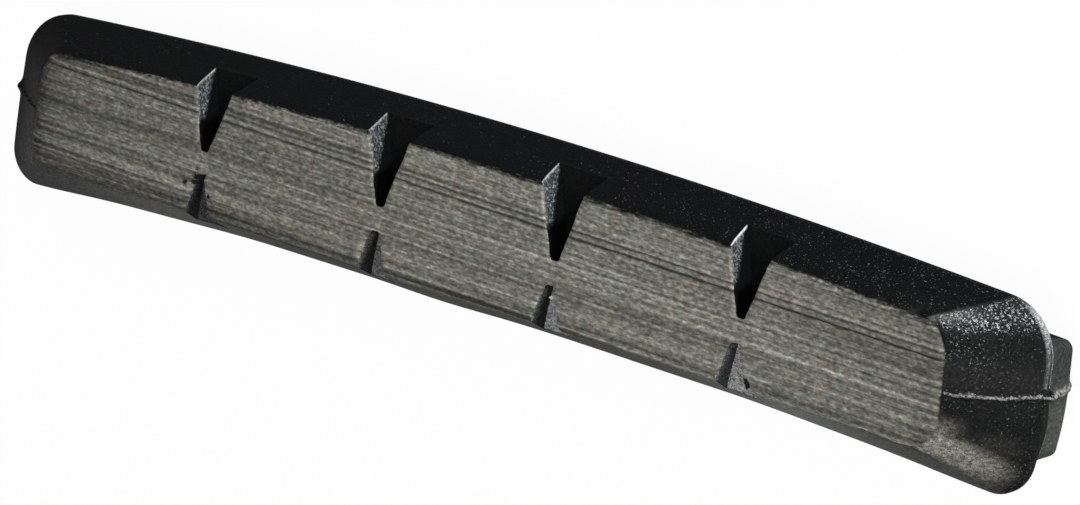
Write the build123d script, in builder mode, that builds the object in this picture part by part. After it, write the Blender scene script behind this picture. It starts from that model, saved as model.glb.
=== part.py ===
from build123d import *
from math import cos, radians, sin, sqrt, tan
import os

# Block in plan: length along X, outer (convex) long side towards +Y
pad_length = 70.0  # at the base, end to end
base_width = 10.9  # at the base, mid-length
end_run = 4.3  # how far each end leans in from base to friction face
side_run = 1.5  # how far each long side leans in, mid-length
base_outer_radius = 460.0  # bow of the outer long side at the base
base_inner_radius = 700.0  # bow of the inner long side at the base
face_outer_radius = 390.0  # bow of the friction face's outer edge
face_inner_radius = 3500.0  # bow of the friction face's inner edge, nearly straight
base_outer_corner = 3.3
base_inner_corner = 2.0
face_outer_corner = 1.8
face_inner_corner = 1.6

# Heights, from the back of the rail up to the friction face
rail_height = 2.6
land_height = 0.4  # upright rim where the block meets its back
block_height = 3.8  # leaning part of the block

# Rail on the back, which slides into the shoe's channel
rail_root_width = 7.3
rail_back_width = 6.7
rail_offset = -0.3  # middle of the rail, from the pad's middle line
rail_root_corner = 1.2  # corners at the rail's ends, where it meets the block
rail_back_corner = 0.5  # the same corners at the rail's back
rail_radius = 650.0  # bow of the rail's middle line
rail_setback = 0.25  # from the end of the block to the end of the rail
rail_bevel = 0.2  # round the rail's back

# Necks along both sides of the rail for the shoe's lips, open at the -X end and stopped at the other
neck_height = 1.1
neck_depth = 0.8
neck_stop = 4.0  # solid length of rail left at the stopped end

# Half-round notch across the rail's back for the shoe's retaining pin
pin_notch_radius = 1.0
pin_notch_inset = 6.0  # from the end of the block

# Grooves cut in from both long sides, wide at the side and narrow at the tip
groove_count = 4
groove_pitch = 12.15
outer_groove_depth = 2.0
inner_tip_depth = 0.9  # of the inner grooves, at their tips
inner_floor_angle = 19.5  # at which their floors fall away from the tip
groove_tip_width = 0.55
groove_tip_corner = 0.15
groove_flank_angle = 15.5  # each flank against the groove's middle line
bridge_width = 1.4  # rubber left between the two tips
bridge_offset = -0.93  # middle of that bridge, from the pad's middle line

half_length = pad_length / 2
base_level = rail_height + land_height
face_level = base_level + block_height
shelf_level = rail_height - neck_height
stop_x = half_length - rail_setback - neck_stop


def arc_drop(radius, half_chord):
    return radius - sqrt(radius**2 - half_chord**2)


def bowed_outline(level, half_span, outer, inner, outer_radius, inner_radius, outer_corner, inner_corner):
    # closed plan of two bowed long sides, outer and inner at mid-length, and two straight ends
    outer_end = outer - arc_drop(outer_radius, half_span)
    inner_end = inner - arc_drop(inner_radius, half_span)
    with BuildSketch(Plane.XY.offset(level)) as outline:
        with BuildLine():
            ThreePointArc((-half_span, outer_end), (0, outer), (half_span, outer_end))
            Line((half_span, outer_end), (half_span, inner_end))
            ThreePointArc((half_span, inner_end), (0, inner), (-half_span, inner_end))
            Line((-half_span, inner_end), (-half_span, outer_end))
        make_face()
        fillet(outline.vertices().group_by(Axis.Y)[-1], outer_corner)
        fillet(outline.vertices().group_by(Axis.Y)[0], inner_corner)
    return outline.sketch


def base_outline(level):
    return bowed_outline(
        level, half_length, base_width / 2, -base_width / 2,
        base_outer_radius, base_inner_radius, base_outer_corner, base_inner_corner,
    )


def face_outline(level):
    side = base_width / 2 - side_run
    return bowed_outline(
        level, half_length - end_run, side, -side,
        face_outer_radius, face_inner_radius, face_outer_corner, face_inner_corner,
    )


def rail_outline(level, inset=0):
    # the rail's plan at a height, widening evenly from its back to its root
    share = level / rail_height
    side = (rail_back_width + share * (rail_root_width - rail_back_width)) / 2 - inset
    corner = rail_back_corner + share * (rail_root_corner - rail_back_corner) - inset
    return bowed_outline(
        level, half_length - rail_setback - inset, rail_offset + side, rail_offset - side,
        rail_radius + side, rail_radius - side, corner, corner,
    )


def neck_point(side, x):
    # point on the neck's inner wall, +1 outer side or -1 inner side
    half_neck = rail_root_width / 2 - neck_depth
    return (x, rail_offset + side * half_neck - arc_drop(rail_radius + side * half_neck, x))


def groove_wedge(side, tilt):
    # plan of one groove from its tip out past the block's side, +1 outer or -1 inner, laid on a tilted floor
    reach = base_width
    half_tip = groove_tip_width / 2
    half_mouth = half_tip + reach * tan(radians(groove_flank_angle))
    mouth = side * reach / cos(radians(tilt))
    return [(-half_tip, 0), (half_tip, 0), (half_mouth, mouth), (-half_mouth, mouth)]


with BuildPart() as brake_pad_insert:
    # rail, with a bevel round its back
    rail_back = rail_outline(0, rail_bevel)
    rail_rim = rail_outline(rail_bevel)
    rail_shelf = rail_outline(shelf_level)
    rail_root = rail_outline(rail_height)
    loft([rail_back, rail_rim, rail_shelf, rail_root], ruled=True)

    # necks: the rail's sides cut back to a bowed middle, from past the open end up to the stop
    with BuildSketch(Plane.XY.offset(shelf_level)) as neck_plan:
        for side in (1, -1):
            past_end = neck_point(side, -pad_length)
            at_stop = neck_point(side, stop_x)
            outside = side * base_width
            with BuildLine():
                ThreePointArc(past_end, neck_point(side, 0), at_stop)
                Polyline(at_stop, (stop_x, outside), (-pad_length, outside), past_end)
            make_face()
    extrude(amount=neck_height, mode=Mode.SUBTRACT)

    # notch for the retaining pin
    with BuildSketch(Plane.XZ) as notch_profile:
        with Locations((pin_notch_inset - half_length, 0)):
            Circle(pin_notch_radius)
    extrude(amount=base_width, both=True, mode=Mode.SUBTRACT)

    # block: upright land, then walls that lean in to the friction face
    extrude(base_outline(rail_height), amount=land_height)
    loft([base_outline(base_level), face_outline(face_level)], ruled=True)

    # grooves, square to the pad's length: level floors on the outer side, falling outwards on the inner
    for side, tip_depth, tilt in ((1, outer_groove_depth, 0), (-1, inner_tip_depth, inner_floor_angle)):
        tip = (0, bridge_offset + side * bridge_width / 2, face_level - tip_depth)
        floor = Plane(tip, x_dir=(1, 0, 0), z_dir=(0, -sin(radians(tilt)), cos(radians(tilt))))
        with BuildSketch(floor) as groove_plan:
            with GridLocations(groove_pitch, 0, groove_count, 1):
                Polygon(*groove_wedge(side, tilt), align=None)
            tips = groove_plan.vertices().filter_by(lambda corner: abs(corner.Y) < bridge_width)
            fillet(tips, groove_tip_corner)
        extrude(amount=block_height, dir=(0, 0, 1), mode=Mode.SUBTRACT)

brake_pad_insert.part.label = "brake_pad_insert"

os.makedirs("parts", exist_ok=True)
export_step(brake_pad_insert.part, "parts/brake_pad_insert.step")
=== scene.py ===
import math
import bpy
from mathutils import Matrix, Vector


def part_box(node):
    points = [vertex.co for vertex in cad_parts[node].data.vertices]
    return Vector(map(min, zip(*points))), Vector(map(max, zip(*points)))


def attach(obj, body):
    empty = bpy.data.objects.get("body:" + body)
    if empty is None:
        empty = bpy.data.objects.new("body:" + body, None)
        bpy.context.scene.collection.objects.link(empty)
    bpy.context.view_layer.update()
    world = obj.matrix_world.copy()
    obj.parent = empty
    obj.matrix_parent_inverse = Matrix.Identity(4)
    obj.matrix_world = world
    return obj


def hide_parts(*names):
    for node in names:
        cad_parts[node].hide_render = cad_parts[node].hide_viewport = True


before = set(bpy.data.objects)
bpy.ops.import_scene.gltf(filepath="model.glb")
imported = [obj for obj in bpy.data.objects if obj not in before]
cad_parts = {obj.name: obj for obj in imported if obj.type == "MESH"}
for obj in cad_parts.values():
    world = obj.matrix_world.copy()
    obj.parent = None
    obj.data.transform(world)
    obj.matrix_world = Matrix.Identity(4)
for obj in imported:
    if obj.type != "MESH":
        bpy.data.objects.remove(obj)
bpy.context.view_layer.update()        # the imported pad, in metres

from types import SimpleNamespace

import bmesh
import bpy
import numpy as np
from mathutils import Matrix, Vector

mm = 0.001
padNode = "brake_pad_insert"
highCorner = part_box(padNode)[1]
halfLength = highCorner.x / mm
faceLevel = highCorner.z / mm

# block of the pad, in mm
blockForm = {
    "baseWidth": 10.9,
    "endRun": 4.3,
    "sideRun": 1.5,
    "baseRadius": {1: 460.0, -1: 700.0},   # bow of the outer, +1, and inner, -1, long sides
    "faceRadius": {1: 390.0, -1: 3500.0},
    "baseCorner": {1: 3.3, -1: 2.0},
    "faceCorner": {1: 1.8, -1: 1.6},
    "railHeight": 2.6,
    "landHeight": 0.4,
}

# wedge grooves, in mm, from left to right
grooveForm = {
    "pitch": 12.15,
    "stray": (-0.17, 0.2, 0.0, 0.0),   # how far each groove sits from its even place
    "lean": (2.3, 0.0, -2.0, 0.0),   # degrees, each outer groove's middle line
    "depth": 2.0,              # of the outer grooves, and of the inner ones at their mouths
    "innerTipDepth": 0.9,      # from where an inner groove's floor falls evenly to its mouth
    "tipWidth": 0.55,
    "tipCorner": 0.15,
    "flankAngle": 15.5,
    "tipAt": {1: -0.23, -1: -1.63},   # y of the outer and inner tips
}

# rail on the back, in mm
railForm = {
    "rootWidth": 7.3,
    "backWidth": 6.7,
    "offset": -0.3,
    "rootCorner": 1.2,
    "backCorner": 0.5,
    "radius": 650.0,
    "setback": 0.25,
    "bevel": 0.2,
    "neckHeight": 1.1,
    "neckDepth": 0.8,
    "neckStop": 4.0,
    "notchRadius": 1.0,
    "notchInset": 6.0,
}

# how finely the surfaces are divided
divide = {
    "corner": 36,      # round a corner
    "endBlock": 48,    # along an end block
    "block": 44,       # along a middle block
    "groove": 10,      # across a groove
    "crowding": 0.11,  # how much closer together the columns stand at the grooves
    "innerBand": 32,   # from the inner edge to the inner tips
    "bridge": 20,      # between the tips
    "outerBand": 58,   # from the outer tips to the outer edge
    "tipShares": (0, 0.005, 0.015, 0.03, 0.05),   # of a band, its first points from the tip
    "wallLow": 12,     # wall below the groove floors
    "wallHigh": 14,    # wall above them
    "drop": (0, 0.02, 0.06, 0.15, 0.3, 0.5, 0.7, 0.86, 0.95, 1),   # shares of the way down a groove
    "meetSteps": 8,    # to find where a flank meets a wall
    "land": 3,
    "railEnd": 72,     # across a rail's end
    "railSpan": 46,    # from the pin notch to the necks' stop
    "railPlain": 3,    # along the short stretches before the notch and past the stop
    "railMargin": 2.0,   # mm, from the rail's ends to those stretches
    "railCorner": 8,
    "railStub": 6,     # beside a corner, along the rail's end
    "notch": 16,
    "bevel": 2,
    "shelf": 8,        # up the rail's sides below the necks
    "neck": 5,
    "mergeGap": 1e-6,  # m, between points that meet
    "sliver": 1e-7,    # m, edges to dissolve
}

# seeds of the noises that shape the pad and shade it
seeds = {
    "grindDashes": 11, "grindLines": 12, "grindBands": 13,
    "scoreWander": 21, "scoreBreaks": 22,
    "edgeRoll": 31,
    "flashBend": 41, "flashBeads": 42, "flashShake": 43,
    "innerShade": 52, "rightShade": 53,
    "tearFine": 61, "tearBroad": 62,
    "spotX": 71, "spotY": 72,
}
noiseCells = 256   # after which a noise repeats itself

baseLevel = blockForm["railHeight"] + blockForm["landHeight"]
blockHeight = faceLevel - baseLevel
floorLevel = faceLevel - grooveForm["depth"]
floorShare = (floorLevel - baseLevel) / blockHeight
faceEnd = halfLength - blockForm["endRun"]
grooveCount = len(grooveForm["stray"])


def bow(x, middle, radius):
    # a shallow arc: its value at mid-length, less the arc's rise at x
    return middle - radius + np.sqrt(radius**2 - x**2)


def cornerArc(halfSpan, middle, radius, corner, side, share):
    # round corner between a bowed side and a straight end, one corner radius inside both;
    # share runs from 0 where it leaves the side to 1 where it meets the end
    reach = radius - side * corner
    centreX = halfSpan - corner
    rise = np.sqrt(reach**2 - centreX**2)
    angle = np.arctan2(side * rise, side * centreX) * (1 - share)
    return np.stack([centreX + corner * np.cos(angle), middle - radius + rise + corner * np.sin(angle)], -1)


def mix(a, b, share):
    # a at share 0, b at share 1, evenly between
    return a * (1 - share) + b * share


def smooth(low, high, value):
    # 0 at low, 1 at high, an even ease between
    share = np.clip((value - low) / (high - low), 0, 1)
    return share * share * (3 - 2 * share)


def bell(value, middle, width):
    # 1 at the middle, falling off evenly to both sides
    return np.exp(-((value - middle) / width)**2)


def softNoise(x, y, name):
    # random values on a square lattice, blended smoothly between the four nearest
    table = np.random.default_rng(seeds[name]).uniform(-1, 1, (noiseCells, noiseCells))
    i, j = np.floor(x).astype(int), np.floor(y).astype(int)
    fx, fy = x - i, y - j
    fx, fy = fx * fx * (3 - 2 * fx), fy * fy * (3 - 2 * fy)
    i, j, nextI, nextJ = (index % noiseCells for index in (i, j, i + 1, j + 1))
    return mix(mix(table[i, j], table[nextI, j], fx), mix(table[i, nextJ], table[nextI, nextJ], fx), fy)


def beyondTip(y):
    # distance from the groove tips towards the nearer long side, negative on the bridge
    return np.maximum(y - grooveForm["tipAt"][1], grooveForm["tipAt"][-1] - y)


def grooveMiddle(groove):
    # x of a groove's even place
    return (groove - (grooveCount - 1) / 2) * grooveForm["pitch"]


def flankX(groove, hand, y):
    # x of a groove's left, -1, or right, +1, flank: half the tip, with its corner rounded,
    # widening evenly with the distance from the tip
    beyond = np.maximum(beyondTip(y), 0)
    corner = grooveForm["tipCorner"]
    shy = np.clip(corner - beyond, 0, corner)
    half = grooveForm["tipWidth"] / 2 - corner + np.sqrt(corner**2 - shy**2)
    half = half + beyond * math.tan(math.radians(grooveForm["flankAngle"]))
    centre = grooveMiddle(groove) + grooveForm["stray"][groove]
    outward = np.maximum(y - grooveForm["tipAt"][1], 0)
    return centre + outward * math.tan(math.radians(grooveForm["lean"][groove])) + hand * half


def sideEnds(side, share):
    # a long side's round corner at the base and at the face, for shares of the way round it
    width = blockForm["baseWidth"] / 2
    base = cornerArc(halfLength, side * width, blockForm["baseRadius"][side], blockForm["baseCorner"][side],
                     side, share)
    face = cornerArc(faceEnd, side * (width - blockForm["sideRun"]), blockForm["faceRadius"][side],
                     blockForm["faceCorner"][side], side, share)
    return base, face


def sideY(side, height, x):
    # y of a long wall, ruled from the base's bow to the face's bow
    base, face = (corner[0, 0] for corner in sideEnds(side, np.zeros(1)))
    span = mix(base, face, height)
    width = blockForm["baseWidth"] / 2
    low = bow(x * base / span, side * width, blockForm["baseRadius"][side])
    high = bow(x * face / span, side * (width - blockForm["sideRun"]), blockForm["faceRadius"][side])
    return mix(low, high, height)


def flankMeets(side, height, groove, hand):
    # where a groove's flank crosses a long wall, by a few steps back and forth between the two
    y = np.full_like(height, side * blockForm["baseWidth"] / 2)
    for step in range(divide["meetSteps"]):
        x = flankX(groove, hand, y)
        y = sideY(side, height, x)
    return x


stripCounts = [divide["endBlock"]]
for groove in range(grooveCount):
    stripCounts += [divide["groove"], divide["block"] if groove < grooveCount - 1 else divide["endBlock"]]
stripStarts = divide["corner"] + np.concatenate([[0], np.cumsum(stripCounts)])


def sideRows(side, height):
    # a long wall with its two corners at each height: columns run from end to end and follow the flanks
    share = np.linspace(0, 1, divide["corner"] + 1)
    base, face = sideEnds(side, share)
    corner = mix(base[None], face[None], height[:, None, None])
    breaks = [-corner[:, 0, 0]]
    for groove in range(grooveCount):
        breaks += [flankMeets(side, height, groove, hand) for hand in (-1, 1)]
    breaks = np.stack(breaks + [corner[:, 0, 0]], 1)
    strip = np.repeat(np.arange(len(stripCounts)), stripCounts)
    even = np.concatenate([np.arange(count) / count for count in stripCounts])
    within = even - divide["crowding"] * np.sin(2 * np.pi * even)
    x = mix(breaks[:, strip], breaks[:, strip + 1], within)
    x = np.concatenate([x, breaks[:, -1:]], 1)
    middle = np.stack([x, sideY(side, height[:, None], x)], -1)
    left = corner[:, :0:-1] * np.array([-1.0, 1.0])
    return np.concatenate([left, middle, corner[:, 1:]], 1)


def grooveFloor(side, plan):
    # height of a groove's floor under plan points: level in the outer grooves, falling from the tip
    # to the mouth in the inner ones
    tip = grooveForm["tipAt"][side]
    mouth = sideY(side, floorShare, plan[..., 0])
    share = np.clip((plan[..., 1] - tip) / (mouth - tip), 0, 1)
    return mix(faceLevel - grooveForm["innerTipDepth"] if side == -1 else floorLevel, floorLevel, share)


def lift(plan, z):
    # gives plan points their height
    z = np.broadcast_to(z, plan.shape[:-1])
    return np.concatenate([plan, z[..., None]], -1)


def alongLine(points):
    # share of the way along a row of points
    steps = np.concatenate([[0], np.cumsum(np.linalg.norm(np.diff(points, axis=0), axis=1))])
    return steps / steps[-1]


def coons(bottom, top, left, right):
    # surface between four edges: the two ruled surfaces added, less the one through the corners
    u = ((alongLine(bottom) + alongLine(top)) / 2)[None, :, None]
    v = ((alongLine(left) + alongLine(right)) / 2)[:, None, None]
    across = mix(left[:, None], right[:, None], u)
    along = mix(bottom[None], top[None], v)
    corners = mix(mix(bottom[0], bottom[-1], u), mix(top[0], top[-1], u), v)
    return across + along - corners


def bandShares(count):
    # shares from a groove's tip to the pad's edge, closer together at the tip's corner
    first = divide["tipShares"]
    return np.concatenate([first[:-1], np.linspace(first[-1], 1, count + 2 - len(first))])


def flankRows(groove, hand):
    # plan points of a flank across the face, from the inner edge over the bridge to the outer edge
    top = np.ones(1)
    edge = {side: sideY(side, top, flankMeets(side, top, groove, hand))[0] for side in (1, -1)}
    tip = grooveForm["tipAt"]
    inner = mix(tip[-1], edge[-1], bandShares(divide["innerBand"]))[::-1]
    middle = np.linspace(tip[-1], tip[1], divide["bridge"] + 1)[1:-1]
    outer = mix(tip[1], edge[1], bandShares(divide["outerBand"]))
    y = np.concatenate([inner, middle, outer])
    return np.stack([flankX(groove, hand, y), y], -1)


def blockPatches():
    # friction face, walls, ends, land and grooves of the block
    patches = []
    low = np.linspace(0, floorShare, divide["wallLow"] + 1)
    high = np.linspace(floorShare, 1, divide["wallHigh"] + 1)
    walls = {side: (sideRows(side, low), sideRows(side, high)) for side in (1, -1)}
    lowZ, highZ = baseLevel + low[:, None] * blockHeight, baseLevel + high[:, None] * blockHeight
    flanks = {(g, hand): flankRows(g, hand) for g in range(grooveCount) for hand in (-1, 1)}
    lastColumn = stripStarts[-1] + divide["corner"]

    for block in range(grooveCount + 1):
        first = stripStarts[2 * block] if block else 0
        last = stripStarts[2 * block + 1] if block < grooveCount else lastColumn
        edges = {side: walls[side][1][-1, first:last + 1] for side in (1, -1)}
        left = flanks[block - 1, 1] if block else None
        right = flanks[block, -1] if block < grooveCount else None
        if left is None:
            left = mix(edges[-1][0], edges[1][0], alongLine(right)[:, None])
        if right is None:
            right = mix(edges[-1][-1], edges[1][-1], alongLine(left)[:, None])
        patches.append(lift(coons(edges[-1], edges[1], left, right), faceLevel))
        patches += [lift(walls[side][1][:, first:last + 1], highZ) for side in (1, -1)]

    ends = {}
    for hand, flank, column in ((-1, flanks[0, -1], 0), (1, flanks[grooveCount - 1, 1], -1)):
        share = alongLine(flank)[:, None]
        for rows, z in ((0, lowZ), (1, highZ)):
            ends[hand, rows] = mix(walls[-1][rows][:, None, column], walls[1][rows][:, None, column], share)
            patches.append(lift(ends[hand, rows], z))
    patches += [lift(walls[side][0], lowZ) for side in (1, -1)]

    loop = [walls[1][0][0], ends[1, 0][0, -2::-1], walls[-1][0][0, -2::-1], ends[-1, 0][0, 1:]]
    loop = np.concatenate(loop)
    landZ = np.linspace(baseLevel, blockForm["railHeight"], divide["land"] + 1)[:, None]
    patches.append(lift(np.repeat(loop[None], divide["land"] + 1, 0), landZ))
    rim = lift(loop, blockForm["railHeight"])

    drop = np.array(divide["drop"])
    tipRow = {-1: divide["innerBand"], 1: divide["innerBand"] + divide["bridge"]}
    for groove in range(grooveCount):
        left, right = flanks[groove, -1], flanks[groove, 1]
        across = np.linspace(0, 1, divide["groove"] + 1)[:, None]
        tipLine = {side: mix(left[tipRow[side]], right[tipRow[side]], across) for side in (1, -1)}
        rows = slice(tipRow[-1], tipRow[1] + 1)
        patches.append(lift(coons(tipLine[-1], tipLine[1], left[rows], right[rows]), faceLevel))
        first, last = stripStarts[2 * groove + 1], stripStarts[2 * groove + 2]
        for side in (1, -1):
            mouth = walls[side][1][:, first:last + 1]
            fan = {}
            for hand, flank, column in ((-1, left, 0), (1, right, -1)):
                face = flank[tipRow[side]:] if side == 1 else flank[tipRow[side]::-1]
                plan = np.concatenate([face, mouth[-2::-1, column]])
                brink = np.concatenate([np.full(len(face), faceLevel), highZ[-2::-1, 0]])
                foot = grooveFloor(side, plan)[:, None]
                patches.append(lift(np.repeat(plan[:, None], len(drop), 1), mix(brink[:, None], foot, drop)))
                fan[hand] = plan
            floor = coons(tipLine[side], mouth[0], fan[-1], fan[1])
            patches.append(lift(floor, grooveFloor(side, floor)))
            tipWall = np.repeat(tipLine[side][:, None], len(drop), 1)
            foot = grooveFloor(side, tipLine[side])[:, None]
            patches.append(lift(tipWall, mix(faceLevel, foot, drop)))
    return patches, rim


def railLine(side, width, x):
    # y of a line bowed with the rail, at a distance from its middle line
    return bow(x, railForm["offset"] + side * width, railForm["radius"] + side * width)


def railRow(z, necked):
    # the rail's plan at one height: each side with its corners, as far as the neck's width along the ends
    inset = max(railForm["bevel"] - z, 0)
    share = z / blockForm["railHeight"]
    half = mix(railForm["backWidth"], railForm["rootWidth"], share) / 2 - inset
    corner = mix(railForm["backCorner"], railForm["rootCorner"], share) - inset
    endX = halfLength - railForm["setback"] - inset
    stopX = halfLength - railForm["setback"] - railForm["neckStop"]
    notchX = railForm["notchInset"] - halfLength
    turn = notchX - railForm["notchRadius"] * np.cos(np.linspace(0, np.pi, divide["notch"] + 1))
    span = np.concatenate([np.linspace(divide["railMargin"] - endX, turn[0], divide["railPlain"] + 1)[:-1],
                           turn, np.linspace(turn[-1], stopX, divide["railSpan"])[1:]])
    beyond = np.linspace(stopX, endX - divide["railMargin"], divide["railPlain"] + 1)
    halfNeck = railForm["rootWidth"] / 2 - railForm["neckDepth"]
    halfSplit = halfNeck - railForm["rootCorner"]
    sides = {}
    for side in (1, -1):
        arc = cornerArc(endX, railForm["offset"] + side * half, railForm["radius"] + side * half, corner,
                        side, np.linspace(0, 1, divide["railCorner"] + 1))
        stub = np.linspace(arc[-1, 1], railLine(side, halfSplit, endX), divide["railStub"] + 1)[1:]
        right = np.concatenate([arc, np.stack([np.full(divide["railStub"], endX), stub], -1)])
        left = right[::-1] * np.array([-1.0, 1.0])
        head = np.concatenate([left, np.stack([span, railLine(side, half, span)], -1)])
        if necked:
            head[:, 1] = side * np.minimum(side * head[:, 1], side * railLine(side, halfNeck, head[:, 0]))
        tail = np.stack([beyond, railLine(side, half, beyond)], -1)
        sides[side] = np.concatenate([head, tail, right])
    return sides


def notchRise(plan):
    # height of the half-round pin notch over the rail's back, 0 beside it
    away = plan[..., 0] - (railForm["notchInset"] - halfLength)
    return np.sqrt(np.maximum(railForm["notchRadius"]**2 - away**2, 0))


def railPatches():
    # back, sides, necks and ends of the rail, with the half-round pin notch lifted out of its back
    shelf = blockForm["railHeight"] - railForm["neckHeight"]
    low = np.concatenate([np.linspace(0, railForm["bevel"], divide["bevel"] + 1),
                          np.linspace(railForm["bevel"], shelf, divide["shelf"] + 1)[1:]])
    high = np.linspace(shelf, blockForm["railHeight"], divide["neck"] + 1)
    rows = [(z, False) for z in low] + [(z, True) for z in high]
    plans = [railRow(z, necked) for z, necked in rows]
    share = np.linspace(0, 1, divide["railEnd"] + 1)[:, None]
    level = np.array([z for z, necked in rows])[:, None]
    ends = {side: np.stack([row[side] for row in plans]) for side in (1, -1)}
    patches = [lift(ends[side], np.maximum(level, notchRise(ends[side]))) for side in (1, -1)]
    stops = [mix(ends[-1][:, None, column], ends[1][:, None, column], share) for column in (0, -1)]
    patches += [lift(stop, level) for stop in stops]
    root = [ends[1][-1], stops[1][-1, -2::-1], ends[-1][-1, -2::-1], stops[0][-1, 1:]]
    stub = divide["railStub"]
    line = np.concatenate([ends[-1][0, -stub - 1:], stops[1][0, 1:-1], ends[1][0, :-stub - 2:-1]])
    edges = [ends[side][0, stub:-stub][None] for side in (-1, 1)]
    back = mix(*edges, alongLine(line)[:, None, None])
    patches.append(lift(back, notchRise(back)))
    return patches, lift(np.concatenate(root), blockForm["railHeight"])


def zipper(outside, inside):
    # triangles between two closed rows of points: a step along either row, whichever is behind, adds one
    first, second = alongLine(outside), alongLine(inside)
    step = np.argsort(np.concatenate([first[1:], second[1:]]), kind="stable")
    outer = step < len(first) - 1
    i, j = np.cumsum(outer) - outer, np.cumsum(~outer) - ~outer
    third = np.where(outer, i + 1, len(outside) + np.minimum(j + 1, len(inside) - 1))
    return np.concatenate([outside, inside]), np.stack([i, third, len(outside) + j], -1)


def weld(name, patches, ring):
    # joins grids of points and a ring of triangles into one closed mesh, merging the points that meet
    points, faces, count = [], [], 0
    for grid in patches:
        n, m = grid.shape[:2]
        index = count + np.arange(n * m).reshape(n, m)
        quads = np.stack([index[:-1, :-1], index[1:, :-1], index[1:, 1:], index[:-1, 1:]], -1)
        faces += quads.reshape(-1, 4).tolist()
        points.append(grid.reshape(-1, 3))
        count += n * m
    faces += (ring[1] + count).tolist()
    points.append(ring[0])
    mesh = bpy.data.meshes.new(name)
    mesh.from_pydata(np.concatenate(points) * mm, [], faces)
    work = bmesh.new()
    work.from_mesh(mesh)
    bmesh.ops.remove_doubles(work, verts=work.verts, dist=divide["mergeGap"])
    bmesh.ops.dissolve_degenerate(work, dist=divide["sliver"], edges=work.edges)
    bmesh.ops.recalc_face_normals(work, faces=work.faces)
    loose = sum(not edge.is_manifold for edge in work.edges)
    work.to_mesh(mesh)
    work.free()
    print("welded", name, len(mesh.vertices), "points,", len(mesh.polygons), "faces,", loose, "open edges")
    return mesh


blockGrids, blockRim = blockPatches()
railGrids, railRim = railPatches()
padMesh = weld("pad", blockGrids + railGrids, zipper(blockRim, railRim))
pad = bpy.data.objects.new("pad", padMesh)
bpy.context.scene.collection.objects.link(pad)

# wear, grinding and moulding marks on the pad, in mm
wearForm = {
    "lineSlope": -0.022,       # of the grinding lines, against the pad's length
    "lineDepth": 0.012,
    "grinding": {              # cells of each noise along and across, its shift, and its share of the depth
        "grindDashes": (2.5, 0.13, 0, 0.3),
        "grindLines": (30.0, 0.15, 40, 0.9),
        "grindBands": (40.0, 0.6, 80, 0.4),
    },
    "grindInset": 0.25,        # from the edges, over which the grinding comes in
    "rollDepth": {1: 0.10, -1: 0.16},   # rounding of the face's outer and inner edges
    "rollWidth": {1: 0.35, -1: 0.6},
    "leftRollDepth": 0.05,     # the same at the left end
    "leftRollWidth": 0.7,
    "flankRoll": 0.05,         # the same along the grooves
    "flankRollWidth": 0.2,
    "brinkRoll": ((0.24, 0.5), (0.2, 0.45), (0.12, 0.3), (0.1, 0.25)),   # inner grooves' left edges
    "brinkRun": 0.6,           # from the tips, over which those come in
    "rollRagged": (0.5, 0.7, 0.5),   # how much the rounding varies, and its cells along and across
    "tear": {1: 0.03, -1: 0.08},   # how far the outer and inner grooves' edges wander sideways
    "tearRun": (0.05, 0.3),    # from the tips, over which they begin to
    "tearReach": 0.4,          # to both sides of an edge
    "tearFine": (0.6, 0.3),    # share and cell of the finer part
    "tearBroad": 0.9,          # cell of the broader part
    "tearLanes": (7.0, 3.0),   # how far apart the grooves and their two edges lie in the noise
    "reach": 0.6,              # depth below the face at which these moves have died out
    "scores": ((1.93, -0.0215, 0.08, 0.6), (1.54, -0.0218, 0.09, 0.76),
               (2.25, -0.023, 0.06, 0.22)),   # y at mid-length, slope, width, strength
    "scoreDepth": 0.03,
    "scoreWander": (0.05, 3.0, 5.0),   # how far, its cell, and how far apart they lie in the noise
    "scoreBreaks": (0.3, 2.0, 9.0),    # the same of how much their depth varies
    "nicks": ((-19.48, -2.36, 0.17, 0.18), (-19.26, -2.22, 0.14, 0.1), (-18.77, -1.36, 0.12, 0.15),
              (-18.84, -1.85, 0.16, 0.22), (-18.93, -2.25, 0.14, 0.2), (-18.12, -1.66, 0.12, 0.2),
              (-17.68, -2.79, 0.12, 0.2), (6.5, -2.71, 0.12, 0.2), (18.68, -2.15, 0.14, 0.2),
              (19.2, -3.71, 0.2, 0.35)),   # x, y, radius, depth
    "darkNick": 0.2,           # depth at which a nick is darkest
    "flakes": ((6.5, -2.34, 0.14), (6.66, -2.96, 0.14)),   # x, y, radius of torn rubber at an edge
    "flakeMove": (-0.4, 0.06),   # how far a flake stands aside and up
    "spotShake": (0.1, 0.15),  # how uneven nicks and flakes are, and the cell
    "endBulge": (0.32, -2.0, 1.7),   # how far the block's right end stands out, at which y, and how widely
    "railBulge": (0.33, -1.8, 3.6),   # the same of the rail's right end
    "leftBulge": (0.07, -2.2, 3.0),   # the same of the left end
    "bulgeRun": (9, 1),        # from the ends, over which they come in
    "railTaper": 0.17,         # how far the rail's inner side draws in towards the right end
    "taperRun": (7, 1),        # from that end, over which it does
    "taperSide": (-2.5, -3.8),   # y over which it comes in
    "railBlend": 0.3,          # height over which the rail's moves give way to the block's
    "innerWaves": ((-32.5, 4.0, 0.17), (-17.0, 4.5, -0.09), (-3.0, 4.0, 0.14),
                   (17.5, 4.5, -0.07), (33.0, 5.0, 0.18)),   # x, width, how far out
    "waveSide": (1.0, -4.5),   # y over which those come in
}

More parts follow.
